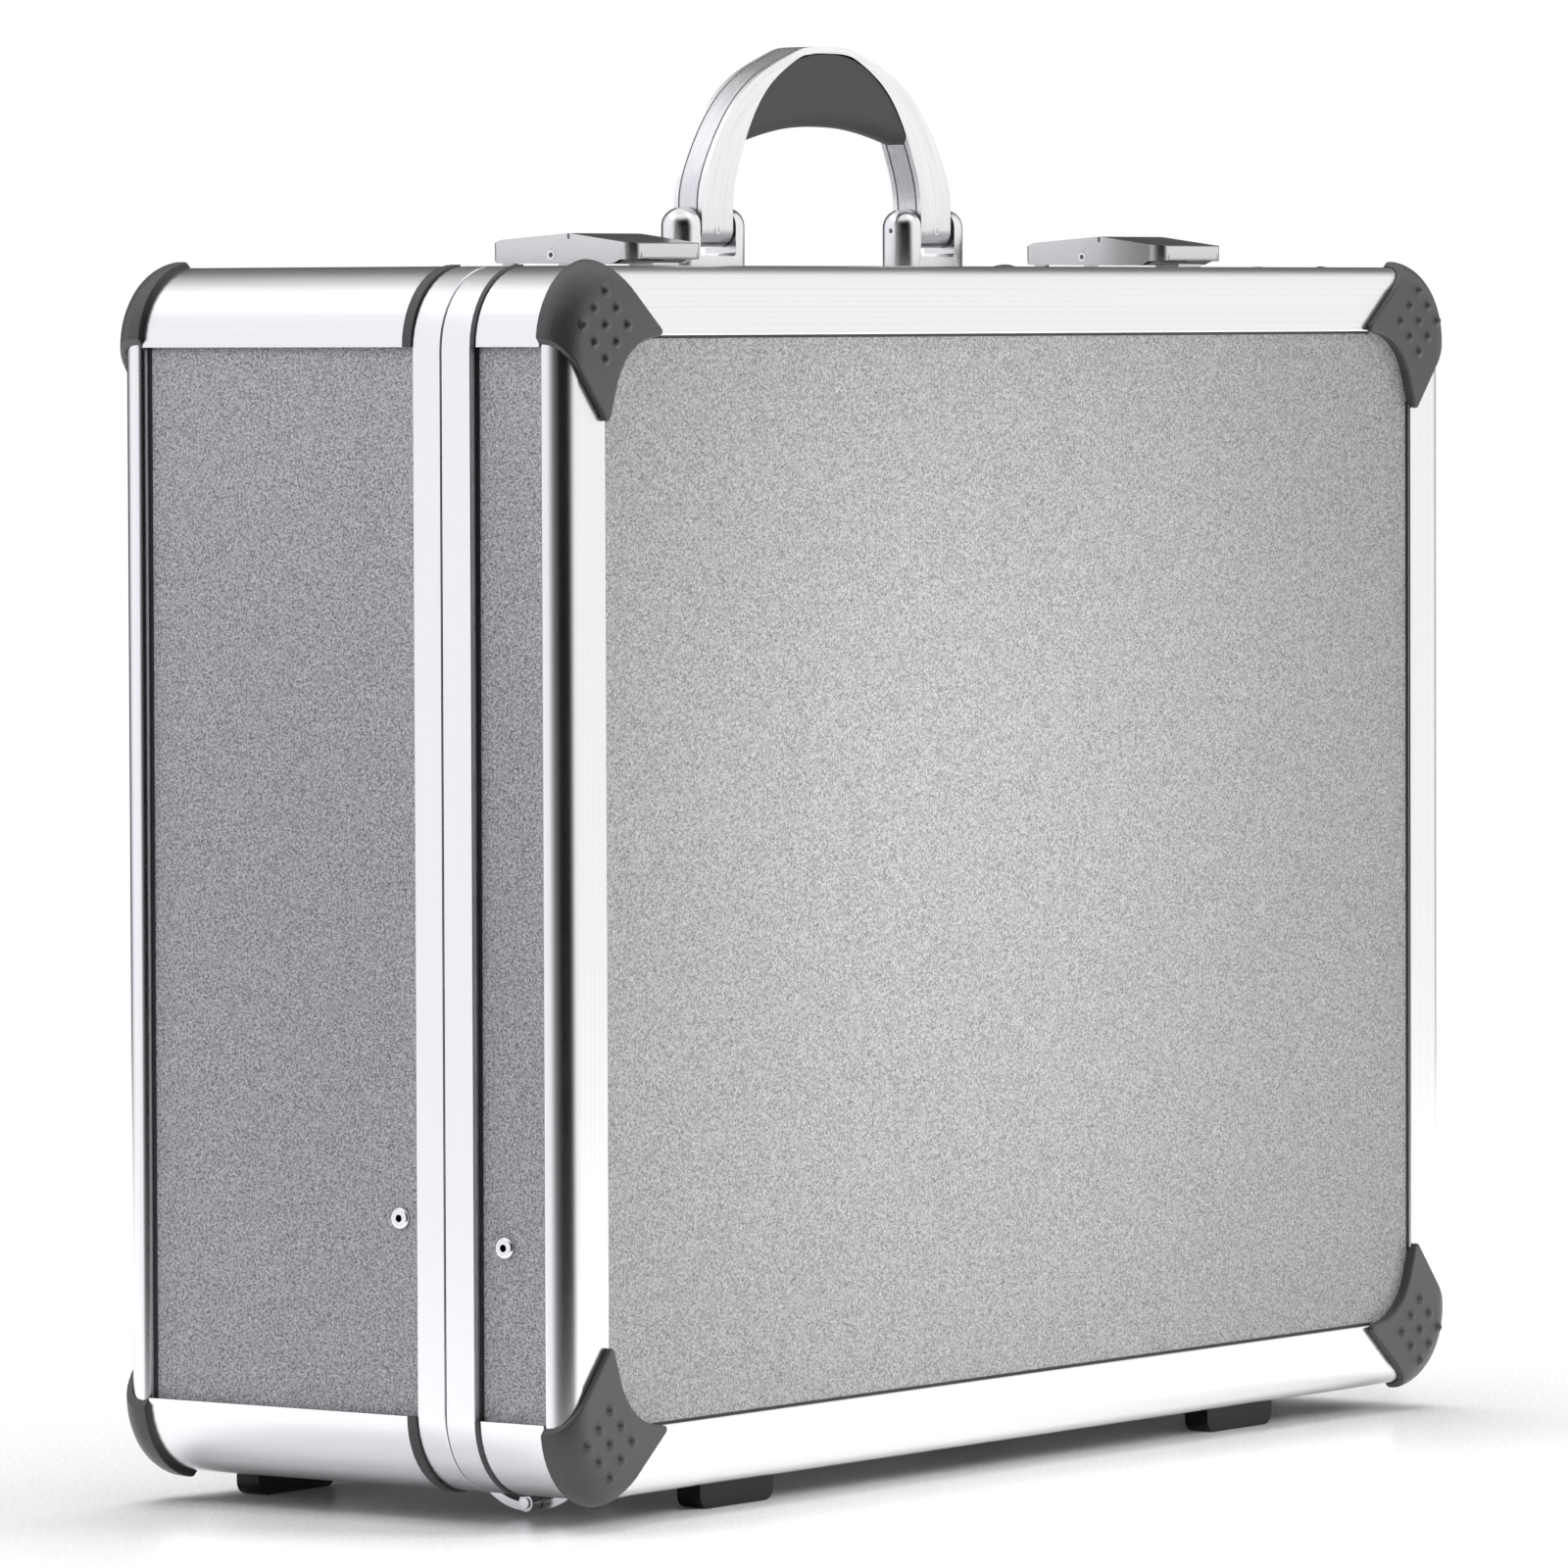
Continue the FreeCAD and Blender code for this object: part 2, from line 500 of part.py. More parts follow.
def grip_shape():
    y = HANDLE_Y - HY + 0.35

    def p(q):
        return V(q[0], y, ZT + q[1])
    top = [p(q) for q in g_in] + [p(q) for q in mirror_pts(g_in)[1:]]
    low = [p(q) for q in g_low] + [p(q) for q in mirror_pts(g_low)[1:]]
    b1, b2 = Part.BSplineCurve(), Part.BSplineCurve()
    b1.interpolate(Points=top)
    b2.interpolate(Points=low)
    e1 = Part.Arc(top[0], p((43.4, 36.6)), low[0]).toShape()
    e2 = Part.Arc(top[-1], p((-43.4, 36.6)), low[-1]).toShape()
    w = Part.Wire(Part.__sortEdges__([b1.toShape(), e1, b2.toShape(), e2]))
    return Part.Face(w).extrude(V(0, 2 * HY - 0.7, 0))


grip = grip_shape()
solid_ring = arch(HANDLE_Y - HY - 1, HANDLE_Y + HY + 1, 0.0, -0.05)
grip = grip.cut(solid_ring)
if len(grip.Solids) > 1:
    grip = sorted(grip.Solids, key=lambda q: -q.Volume)[0]
# the core's inner face carries the grip; its underside is rounded for the hand
under = [e for e in grip.Edges if e.BoundBox.YLength < 1e-3 and e.BoundBox.XLength > 60 and e.BoundBox.ZMin < ZT + 38.5
         and e.BoundBox.ZMax < ZT + 44]
grip = grip.makeFillet(4.2, under)

# bracket screws, driven from inside the case
screw_r = []
for x in (BRACKET_X0 + 9.0, BRACKET_X1 - 9.0):
    s = cyl_z(ZT - IN - 2.0, ZT - IN, x, HANDLE_Y, 3.4).fuse(cyl_z(ZT - IN - 0.5, ZT + 1.3, x, HANDLE_Y, 1.6)).removeSplitter()
    screw_r.append(s)
    body_walls["top"] = body_walls["top"].cut(cyl_z(ZT - 20, ZT, x, HANDLE_Y, 1.6)).cut(cyl_z(ZT - 20, ZT, -x, HANDLE_Y, 1.6))

# ---------------------------------------------------------------- lid stays (left side)
# Parallelogram stay: the body link is as long as the lid rivet's distance from the hinge axis and the
# lid link as long as the body rivet's, so the elbow stays in line at every lid angle.
B = V(0, STAY_BODY[0], ZB + STAY_BODY[1])
L = V(0, STAY_LID[0], ZB + STAY_LID[1])
O = V(0, HINGE_Y, HINGE_Z)
E = B + L - O
LINK_T = 1.5
XA = XL + BAND_T + 1.2   # body link's outer face
XB = XA + LINK_T + 0.4   # lid link's outer face


def link(p, q, x, w=9.0, hole_p=1.7, hole_q=1.7):
    r = w / 2
    d = (q - p).normalize()
    n = V(0, -d.z, d.y)
    a, b = p + n * r, q + n * r
    c, e = q - n * r, p - n * r
    w1 = Part.makePolygon([V(x, a.y, a.z), V(x, b.y, b.z), V(x, c.y, c.z), V(x, e.y, e.z), V(x, a.y, a.z)])
    s = Part.Face(w1).extrude(V(LINK_T, 0, 0))
    s = s.fuse(cyl_x(x, x + LINK_T, p.y, p.z, r)).fuse(cyl_x(x, x + LINK_T, q.y, q.z, r))
    if hole_p:
        s = s.cut(cyl_x(x - 1, x + 3, p.y, p.z, hole_p))
    if hole_q:
        s = s.cut(cyl_x(x - 1, x + 3, q.y, q.z, hole_q))
    return s.removeSplitter()


body_link = link(B, E, XA, hole_p=RIVET_R + 0.06, hole_q=2.3)
lid_link = link(L, E, XB, hole_p=RIVET_R + 0.06, hole_q=0)
lid_link = lid_link.fuse(cyl_x(XA - 0.9, XB + 0.5, E.y, E.z, 2.0)).fuse(cyl_x(XA - 0.9, XA - 0.2, E.y, E.z, 3.2)).removeSplitter()


def stay_rivet(y, z, x_in, link_x):
    """Hollow rivet: head outside the panel, shank through it and its link, rolled head inside."""
    s = cyl_x(XL + RECESS - 1.2, XL + RECESS, y, z, RIVET_HEAD_R)
    fil = [e for e in s.Edges if abs(e.BoundBox.XMin - (XL + RECESS - 1.2)) < 1e-4 and e.BoundBox.XLength < 1e-4]
    s = s.makeFillet(0.9, fil)
    s = s.fuse(cyl_x(XL + RECESS - 0.5, link_x + LINK_T + 0.15, y, z, RIVET_R))
    s = s.fuse(cyl_x(link_x + LINK_T + 0.15, link_x + LINK_T + 1.0, y, z, 2.9))
    s = s.fuse(cyl_x(XL + IN, link_x - 0.15, y, z, 2.9))
    return s.cut(cyl_x(XL, XL + 10, y, z, 1.1)).removeSplitter()


body_rivet = stay_rivet(B.y, B.z, XL + IN, XA)
lid_rivet = stay_rivet(L.y, L.z, XL + IN, XB)

# ---------------------------------------------------------------- inside: foam, chip racks, card and dice tray
IX = 216.0
IZ0, IZ1 = ZB + 9.6, ZT - 9.6


def pad(y0, y1, r=20.0):
    return prism_y([(-IX, IZ0, r), (IX, IZ0, r), (IX, IZ1, r), (-IX, IZ1, r)], y0, y1)


foam_base = pad(RACK_Y1 + 0.1, YB - FR_IN)
lid_foam = pad(YF + FR_IN, YF + IN + 22.0)
RX0, RX1 = -IX, -38.0
rack = prism_y([(RX0, IZ0, 20), (RX1, IZ0, 2), (RX1, IZ1, 2), (RX0, IZ1, 20)], RACK_Y0, RACK_Y1)
pitch = (IZ1 - IZ0) / RACK_ROWS
for i in range(RACK_ROWS):
    zc = IZ0 + pitch * (i + 0.5)
    rack = rack.cut(cyl_x(RX0 + 6.0, RX1 - 6.0, RACK_Y0, zc, CHIP_R))
tray = prism_y([(-37.6, IZ0, 2), (37.6, IZ0, 2), (37.6, IZ1, 2), (-37.6, IZ1, 2)], RACK_Y0, RACK_Y1)
wells = [(IZ0 + 8, IZ0 + 100), (IZ0 + 108, IZ0 + 200), (IZ0 + 208, IZ1 - 8)]
for z0, z1 in wells:
    tray = tray.cut(prism_y([(-33, z0, 4), (33, z0, 4), (33, z1, 4), (-33, z1, 4)], RACK_Y0 - 1, RACK_Y1 - 6))

# ---------------------------------------------------------------- write the pieces
emit("body_left_panel", body_walls["left"])
emit("body_right_panel", body_walls["right"])
emit("body_top_panel", body_walls["top"])
emit("body_bottom_panel", body_walls["bottom"])
emit("back_panel", back_panel)
for k, s in back_edges.items():
    emit("back_edge_" + k, s)
emit("body_corner_profiles", *four(body_profile))
emit("body_collars", *four(body_collar))
emit("body_closure_band", body_band)
emit("back_corner_guards", *four(body_guard))
emit("lid_left_panel", lid_walls["left"])
emit("lid_right_panel", lid_walls["right"])
emit("lid_top_panel", lid_walls["top"])
emit("lid_bottom_panel", lid_walls["bottom"])
emit("front_panel", front_panel)
for k, s in front_edges.items():
    emit("front_edge_" + k, s)
emit("lid_corner_profiles", *four(lid_profile))
emit("lid_collars", *four(lid_collar))
emit("lid_closure_band", lid_band)
emit("lid_seal", seal)
emit("front_corner_guards", *four(lid_guard))
emit("front_feet", front_foot, mx(front_foot))
emit("rear_feet", rear_foot, mx(rear_foot))
emit("hinge_body_leaves", body_leaf, mx(body_leaf))
emit("hinge_lid_leaves", lid_leaf, mx(lid_leaf))
emit("hinge_pins", hinge_pin, mx(hinge_pin))
emit("latch_base_left", base)
emit("latch_base_right", mx(base))
emit("latch_pivot_pins", lever_pin, mx(lever_pin))
emit("latch_lever_left", lever)
emit("latch_lever_right", mx(lever))
emit("latch_catch_left", catch)
emit("latch_catch_right", mx(catch))
emit("latch_catch_rivet_left", catch_pin)
emit("latch_catch_rivet_right", mx(catch_pin))
emit("latch_keepers", keeper, mx(keeper))
emit("handle_brackets", bracket_r, mx(bracket_r))
emit("handle_pins", handle_pin, mx(handle_pin))
emit("handle_bracket_screws", *(screw_r + [mx(s) for s in screw_r]))
emit("handle_core", core)
emit("handle_side_plates", front_plate, rear_plate)
emit("handle_grip", grip)
emit("stay_body_link_left", body_link)
emit("stay_body_link_right", mx(body_link))
emit("stay_lid_link_left", lid_link)
emit("stay_lid_link_right", mx(lid_link))
emit("stay_body_rivets", body_rivet, mx(body_rivet))
emit("stay_lid_rivets", lid_rivet, mx(lid_rivet))
emit("foam_base", foam_base)
emit("lid_foam", lid_foam)
emit("chip_rack_left", rack)
emit("chip_rack_right", mx(rack))
emit("card_tray", tray)
print(len(NODES), "nodes; stay elbow at", round(E.y, 2), round(E.z, 2), "hinge axis", HINGE_Y, HINGE_Z)
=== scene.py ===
import math

import bmesh
import bpy
from mathutils import Matrix, Vector


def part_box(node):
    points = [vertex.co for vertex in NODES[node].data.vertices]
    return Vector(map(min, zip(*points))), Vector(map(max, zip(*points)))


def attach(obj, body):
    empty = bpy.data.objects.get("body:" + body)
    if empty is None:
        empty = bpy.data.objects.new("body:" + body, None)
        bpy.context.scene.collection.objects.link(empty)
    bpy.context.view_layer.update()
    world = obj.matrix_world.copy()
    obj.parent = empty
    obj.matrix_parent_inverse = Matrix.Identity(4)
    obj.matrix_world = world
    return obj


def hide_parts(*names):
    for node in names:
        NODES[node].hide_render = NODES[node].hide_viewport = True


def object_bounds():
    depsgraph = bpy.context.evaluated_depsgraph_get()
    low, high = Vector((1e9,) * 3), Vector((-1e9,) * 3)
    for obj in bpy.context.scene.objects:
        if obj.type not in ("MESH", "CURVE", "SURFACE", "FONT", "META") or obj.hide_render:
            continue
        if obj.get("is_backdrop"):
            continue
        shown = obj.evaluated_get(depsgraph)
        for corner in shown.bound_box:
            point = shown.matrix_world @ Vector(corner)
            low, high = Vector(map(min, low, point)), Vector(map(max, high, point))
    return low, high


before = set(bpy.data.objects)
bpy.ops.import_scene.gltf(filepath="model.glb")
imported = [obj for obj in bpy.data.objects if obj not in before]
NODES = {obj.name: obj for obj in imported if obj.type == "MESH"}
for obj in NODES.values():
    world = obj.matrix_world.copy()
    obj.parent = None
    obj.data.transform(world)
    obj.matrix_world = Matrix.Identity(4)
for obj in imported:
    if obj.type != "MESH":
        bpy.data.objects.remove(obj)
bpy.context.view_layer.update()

scene = bpy.context.scene

# ------------------------------------------------------------------ places taken from the frame
frame_lo, frame_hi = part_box("front_edge_left")
XL, YF = frame_lo.x, frame_lo.y
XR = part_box("front_edge_right")[1].x
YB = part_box("back_edge_left")[1].y
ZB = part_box("front_edge_bottom")[0].z
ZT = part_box("front_edge_top")[1].z


# ------------------------------------------------------------------ node helpers
class Mat:
    """A procedural material under construction; coordinates are metres in the row frame."""

    def __init__(self, name, base, rough, metallic=0.0, **sockets):
        self.m = bpy.data.materials.new(name)
        self.m.use_nodes = True
        self.nt = self.m.node_tree
        self.nt.nodes.clear()
        self.out = self.nt.nodes.new("ShaderNodeOutputMaterial")
        self.b = self.nt.nodes.new("ShaderNodeBsdfPrincipled")
        self.nt.links.new(self.b.outputs[0], self.out.inputs[0])
        self.b.inputs["Base Color"].default_value = (*base, 1)
        self.b.inputs["Roughness"].default_value = rough
        self.b.inputs["Metallic"].default_value = metallic
        for k, v in sockets.items():
            self.b.inputs[k.replace("_", " ")].default_value = v
        self.co = self.nt.nodes.new("ShaderNodeTexCoord").outputs["Object"]
        self.base, self.rough = base, rough
        self.colour = None
        self.height = None

    def new(self, kind, **props):
        n = self.nt.nodes.new(kind)
        for k, v in props.items():
            setattr(n, k, v)
        return n

    def link(self, a, b):
        self.nt.links.new(a, b)

    def math(self, op, a, b=None, c=None, clamp=False):
        n = self.new("ShaderNodeMath", operation=op, use_clamp=clamp)
        for i, v in enumerate((a, b, c)):
            if v is None:
                continue
            if isinstance(v, (int, float)):
                n.inputs[i].default_value = v
            else:
                self.link(v, n.inputs[i])
        return n.outputs[0]

    def scaled(self, sx, sy, sz, co=None):
        n = self.new("ShaderNodeMapping")
        self.link(co or self.co, n.inputs[0])
        n.inputs["Scale"].default_value = (sx, sy, sz)
        return n.outputs[0]

    def noise(self, scale, detail=3.0, roughness=0.55, co=None, distortion=0.0, stretch=None):
        n = self.new("ShaderNodeTexNoise")
        c = co or self.co
        if stretch is not None:
            c = self.scaled(*stretch, co=c)
        self.link(c, n.inputs["Vector"])
        n.inputs["Scale"].default_value = scale
        n.inputs["Detail"].default_value = detail
        n.inputs["Roughness"].default_value = roughness
        n.inputs["Distortion"].default_value = distortion
        return n.outputs["Fac"]

    def voronoi(self, scale, co=None, feature="F1", out="Distance"):
        n = self.new("ShaderNodeTexVoronoi", feature=feature)
        self.link(co or self.co, n.inputs["Vector"])
        n.inputs["Scale"].default_value = scale
        return n.outputs[out]

    def ramp(self, fac, stops):
        n = self.new("ShaderNodeValToRGB")
        self.link(fac, n.inputs[0])
        el = n.color_ramp.elements
        el[0].position, el[0].color = stops[0][0], (*stops[0][1], 1)
        el[1].position, el[1].color = stops[-1][0], (*stops[-1][1], 1)
        for p, c in stops[1:-1]:
            e = el.new(p)
            e.color = (*c, 1)
        return n.outputs[0]

    def remap(self, fac, a, b, lo, hi):
        n = self.new("ShaderNodeMapRange")
        self.link(fac, n.inputs[0])
        for i, v in zip((1, 2, 3, 4), (a, b, lo, hi)):
            n.inputs[i].default_value = v
        return n.outputs[0]

    def tint(self, fac, amount, spread=0.22):
        """Base colour times 1 ± amount, following fac about 0.5."""
        dark = tuple(c * (1 - amount) for c in self.base)
        light = tuple(min(1.0, c * (1 + amount)) for c in self.base)
        new = self.ramp(fac, [(0.5 - spread, dark), (0.5 + spread, light)])
        if self.colour is None:
            self.colour = new
        else:
            n = self.new("ShaderNodeMix", data_type="RGBA", blend_type="MIX")
            n.inputs[0].default_value = 0.5
            self.link(self.colour, n.inputs[6])
            self.link(new, n.inputs[7])
            self.colour = n.outputs[2]
        self.link(self.colour, self.b.inputs["Base Color"])
        return self

    def multiply(self, fac, a, b, lo, hi):
        """Base colour times a factor that goes from lo to hi as fac goes from a to b."""
        f = self.remap(fac, a, b, lo, hi)
        n = self.new("ShaderNodeMix", data_type="RGBA", blend_type="MULTIPLY")
        n.inputs[0].default_value = 1.0
        if self.colour is None:
            n.inputs[6].default_value = (*self.base, 1)
        else:
            self.link(self.colour, n.inputs[6])
        c = self.new("ShaderNodeCombineColor")
        for i in range(3):
            self.link(f, c.inputs[i])
        self.link(c.outputs[0], n.inputs[7])
        self.colour = n.outputs[2]
        self.link(self.colour, self.b.inputs["Base Color"])
        return self

    def vary_rough(self, fac, amount, spread=0.25):
        self.link(self.remap(fac, 0.5 - spread, 0.5 + spread, max(0.02, self.rough - amount), min(1.0, self.rough + amount)),
                  self.b.inputs["Roughness"])
        return self

    def bump(self, fac, depth, strength=1.0):
        n = self.new("ShaderNodeBump")
        n.inputs["Strength"].default_value = strength
        n.inputs["Distance"].default_value = depth
        self.link(fac, n.inputs["Height"])
        if self.height is not None:
            self.link(self.height, n.inputs["Normal"])
        self.height = n.outputs[0]
        self.link(self.height, self.b.inputs["Normal"])
        return self


def srgb(*v):
    """8-bit display values to linear."""
    if len(v) == 1:
        v = v * 3
    out = []
    for c in v:
        c = c / 255.0
        out.append(c / 12.92 if c <= 0.04045 else ((c + 0.055) / 1.055) ** 2.4)
    return tuple(out)


# ------------------------------------------------------------------ materials
def anodised(name, axis, base=(0.75, 0.75, 0.76), rough=0.24, lines=0.5):
    """Satin anodised extrusion: die lines run along axis."""
    m = Mat(name, base, rough, 1.0)
    fine, long_ = 2600.0, 1.2
    stretch = {"x": (long_, fine, fine), "y": (fine, long_, fine), "z": (fine, fine, long_)}[axis]
    grain = m.noise(1.0, 2.0, 0.6, stretch=stretch)
    broad = m.noise(1.0, 2.0, 0.5, stretch=tuple(v * 0.16 if v > 10 else v for v in stretch))
    blast = m.noise(3800.0, 2.0, 0.6)
    cloud = m.noise(14.0, 3.0, 0.5)
    m.tint(grain, 0.035 * lines * 2)
    m.multiply(broad, 0.3, 0.7, 1 - 0.02 * lines, 1.0)
    m.vary_rough(m.math("ADD", m.math("MULTIPLY", blast, 0.6), m.math("MULTIPLY", cloud, 0.4)), 0.05)
    m.bump(blast, 0.000012, 0.35)
    m.bump(grain, 0.000010, 0.30 * lines)
    return m.m


def laminate(name, base, rough, grain_amount, metallic=0.0, spec=0.5, fleck=0.0):
    """Hard laminate with a fine pearl texture."""
    m = Mat(name, base, rough, metallic, Specular_IOR_Level=spec)
    worm = m.noise(1500.0, 2.5, 0.62, distortion=0.5)
    tiny = m.noise(3900.0, 1.0, 0.5)
    mix = m.math("ADD", m.math("MULTIPLY", worm, 0.68), m.math("MULTIPLY", tiny, 0.32))
    m.tint(mix, grain_amount, spread=0.11)
    cloud = m.noise(9.0, 3.0, 0.5)
    m.multiply(cloud, 0.3, 0.7, 0.975, 1.0)
    m.vary_rough(worm, 0.10)
    m.bump(worm, 0.00006, 0.55)
    return m.m


def plastic(name, base, rough, scale=1900.0, depth=0.00004, amount=0.10, spec=0.5, sheen=0.0):
    m = Mat(name, base, rough, 0.0, Specular_IOR_Level=spec)
    if sheen:
        m.b.inputs["Sheen Weight"].default_value = sheen
        m.b.inputs["Sheen Roughness"].default_value = 0.45
    grain = m.noise(scale, 2.5, 0.6)
    blot = m.noise(60.0, 4.0, 0.6)
    m.tint(grain, amount)
    m.multiply(blot, 0.3, 0.7, 0.93, 1.04)
    m.vary_rough(m.math("ADD", m.math("MULTIPLY", grain, 0.5), m.math("MULTIPLY", blot, 0.5)), 0.07)
    m.bump(grain, depth, 0.5)
    return m.m


def cast_metal(name, base, rough, amount=0.05, blast=2400.0, depth=0.00002, scratch=0.0):
    m = Mat(name, base, rough, 1.0)
    grain = m.noise(blast, 2.5, 0.6)
    cloud = m.noise(45.0, 4.0, 0.6)
    m.tint(grain, amount)
    m.multiply(cloud, 0.3, 0.7, 0.96, 1.0)
    m.vary_rough(m.math("ADD", m.math("MULTIPLY", grain, 0.4), m.math("MULTIPLY", cloud, 0.6)), 0.05)
    m.bump(grain, depth, 0.35)
    if scratch:
        fine = m.noise(1.0, 2.0, 0.6, stretch=(300, 3500, 3500))
        m.bump(fine, 0.000015, scratch)
    return m.m


def brushed_arc(name, base, rough, amount):
    """Brushed metal whose lines follow the handle's arch."""
    m = Mat(name, base, rough, 1.0)
    sep = m.new("ShaderNodeSeparateXYZ")
    m.link(m.co, sep.inputs[0])
    x2 = m.math("MULTIPLY", sep.outputs[0], sep.outputs[0])
    dz = m.math("MAXIMUM", m.math("SUBTRACT", sep.outputs[2], ZT + 0.014), 0.0)
    z2 = m.math("MULTIPLY", m.math("MULTIPLY", dz, dz), 1.35)
    r = m.math("SQRT", m.math("ADD", x2, z2))
    along = m.math("ARCTAN2", dz, sep.outputs[0])
    comb = m.new("ShaderNodeCombineXYZ")
    m.link(m.math("MULTIPLY", r, 2600.0), comb.inputs[0])
    m.link(m.math("MULTIPLY", along, 2.2), comb.inputs[1])
    m.link(m.math("MULTIPLY", sep.outputs[1], 2600.0), comb.inputs[2])
    hair = m.noise(1.0, 3.0, 0.65, co=comb.outputs[0])
    coarse = m.noise(0.22, 2.0, 0.5, co=comb.outputs[0])
    m.tint(hair, amount)
    m.multiply(coarse, 0.3, 0.7, 0.95, 1.0)
    m.vary_rough(hair, 0.10)
    m.bump(hair, 0.00002, 0.45)
    return m.m


M = {}
for ax in "xyz":
    M["frame_" + ax] = anodised("frame_aluminium_" + ax, ax)
M["band"] = anodised("band_aluminium", "y", base=(0.75, 0.75, 0.765), rough=0.30, lines=0.15)
# painted light tint: the side panels' slight blue cast stands in for the bluish light from the left; the front copy
# of this laminate is neutral
M["side"] = laminate("side_laminate", srgb(142, 141.5, 145.5), 0.50, 0.66, spec=0.4)
M["front"] = laminate("front_laminate", srgb(133, 132, 132.5), 0.42, 0.62, metallic=0.12, spec=0.5)
M["guard"] = plastic("guard_plastic", srgb(52, 52.5, 53.5), 0.40, amount=0.20)
M["collar"] = plastic("collar_plastic", srgb(48, 48, 50), 0.42, amount=0.10)
M["seal"] = plastic("seal_rubber", srgb(30, 30, 32), 0.55)
M["foot"] = plastic("foot_rubber", srgb(10, 10, 11), 0.42, depth=0.00003, spec=0.25)
M["steel"] = cast_metal("hinge_steel", (0.62, 0.62, 0.63), 0.20, scratch=0.25)
M["pin"] = cast_metal("pin_steel", (0.72, 0.72, 0.73), 0.12, amount=0.03)
M["latch"] = cast_metal("latch_metal", (0.60, 0.597, 0.595), 0.24, amount=0.06)
M["bracket"] = cast_metal("bracket_metal", (0.74, 0.74, 0.745), 0.20, amount=0.05)
M["handle_plate"] = brushed_arc("handle_aluminium", (0.80, 0.80, 0.805), 0.34, 0.16)
M["handle_core"] = brushed_arc("handle_core_metal", (0.66, 0.66, 0.68), 0.34, 0.16)
M["grip"] = plastic("grip_rubber", srgb(64, 62.5, 61), 0.62, scale=2200.0, amount=0.16, spec=0.3, sheen=0.05)


def foam_mat():
    m = Mat("foam", srgb(38, 38, 40), 0.95, 0.0, Specular_IOR_Level=0.15)
    cells = m.voronoi(900.0)
    pores = m.voronoi(420.0)
    noise = m.noise(240.0, 4.0, 0.65)
    m.tint(noise, 0.22)
    # painted shade: colour darkens to 0.55 at the bottom of each cell pit and to 0.75 in each pore, the same hollows
    # the bumps sink in
    m.multiply(cells, 0.0, 0.55, 0.55, 1.15)
    m.multiply(pores, 0.05, 0.5, 0.75, 1.08)
    m.bump(cells, 0.0006, 0.8)
    m.bump(pores, 0.0007, 0.5)
    m.vary_rough(noise, 0.04)
    return m.m


def flock_mat():
    m = Mat("rack_plastic", srgb(34, 34, 37), 0.85, 0.0, Specular_IOR_Level=0.2)
    m.b.inputs["Sheen Weight"].default_value = 0.55
    m.b.inputs["Sheen Roughness"].default_value = 0.35
    m.b.inputs["Sheen Tint"].default_value = (0.75, 0.75, 0.8, 1)
    fibre = m.noise(2600.0, 3.0, 0.7)
    nap = m.noise(38.0, 4.0, 0.6)
    m.tint(fibre, 0.30)
    m.multiply(nap, 0.35, 0.65, 0.80, 1.15)
    m.bump(fibre, 0.0002, 0.7)
    m.bump(nap, 0.0005, 0.2)
    m.vary_rough(fibre, 0.06)
    return m.m


M["foam"] = foam_mat()
M["flock"] = flock_mat()


# ------------------------------------------------------------------ the CAD nodes' finishes
def give(mat, *names):
    for n in names:
        o = NODES[n]
        if not o.material_slots:
            o.data.materials.append(mat)
        for s in o.material_slots:
            s.material = mat


give(M["side"], "body_left_panel", "body_right_panel", "body_top_panel", "body_bottom_panel",
     "lid_left_panel", "lid_right_panel", "lid_top_panel", "lid_bottom_panel")
give(M["front"], "front_panel", "back_panel")
give(M["frame_z"], "front_edge_left", "front_edge_right", "back_edge_left", "back_edge_right")
give(M["frame_x"], "front_edge_top", "front_edge_bottom", "back_edge_top", "back_edge_bottom")
give(M["frame_y"], "lid_corner_profiles", "body_corner_profiles")
give(M["band"], "lid_closure_band", "body_closure_band")
give(M["guard"], "front_corner_guards", "back_corner_guards")
give(M["collar"], "lid_collars", "body_collars")
give(M["seal"], "lid_seal")
give(M["foot"], "front_feet", "rear_feet")
give(M["steel"], "hinge_body_leaves", "hinge_lid_leaves", "stay_body_link_left", "stay_body_link_right",
     "stay_lid_link_left", "stay_lid_link_right", "latch_catch_left", "latch_catch_right", "latch_keepers",
     "latch_base_left", "latch_base_right")
give(M["pin"], "hinge_pins", "handle_pins", "latch_pivot_pins", "latch_catch_rivet_left", "latch_catch_rivet_right",
     "stay_body_rivets", "stay_lid_rivets", "handle_bracket_screws")
give(M["latch"], "latch_lever_left", "latch_lever_right")
give(M["bracket"], "handle_brackets")
give(M["handle_plate"], "handle_side_plates")
give(M["handle_core"], "handle_core")
give(M["grip"], "handle_grip")
give(M["foam"], "foam_base", "lid_foam")
give(M["flock"], "chip_rack_left", "chip_rack_right", "card_tray")


# ------------------------------------------------------------------ softened edges on the CAD nodes
def soften(name, width, segments=3, angle=32, weld=0.00001, level=True):
    o = NODES[name]
    w = o.modifiers.new("Weld", "WELD")
    w.merge_threshold = weld
    b = o.modifiers.new("Bevel", "BEVEL")
    b.width = width
    b.segments = segments
    b.limit_method = "ANGLE"
    b.angle_limit = math.radians(angle)
    b.use_clamp_overlap = True
    b.harden_normals = False
    if level:
        n = o.modifiers.new("Normals", "WEIGHTED_NORMAL")
        n.keep_sharp = False
        n.weight = 60


def moulded(name, voxel, smooth, keep=None):
    """Moulded plastic look: every edge of the solid is rounded over."""
    o = NODES[name]
    w = o.modifiers.new("Weld", "WELD")
    w.merge_threshold = 0.00001
    r = o.modifiers.new("Remesh", "REMESH")
    r.mode = "VOXEL"
    r.voxel_size = voxel
    r.use_smooth_shade = True
    s = o.modifiers.new("Smooth", "SMOOTH")
    s.factor = 0.5
    s.iterations = smooth
    if keep:
        d = o.modifiers.new("Decimate", "DECIMATE")
        d.ratio = keep


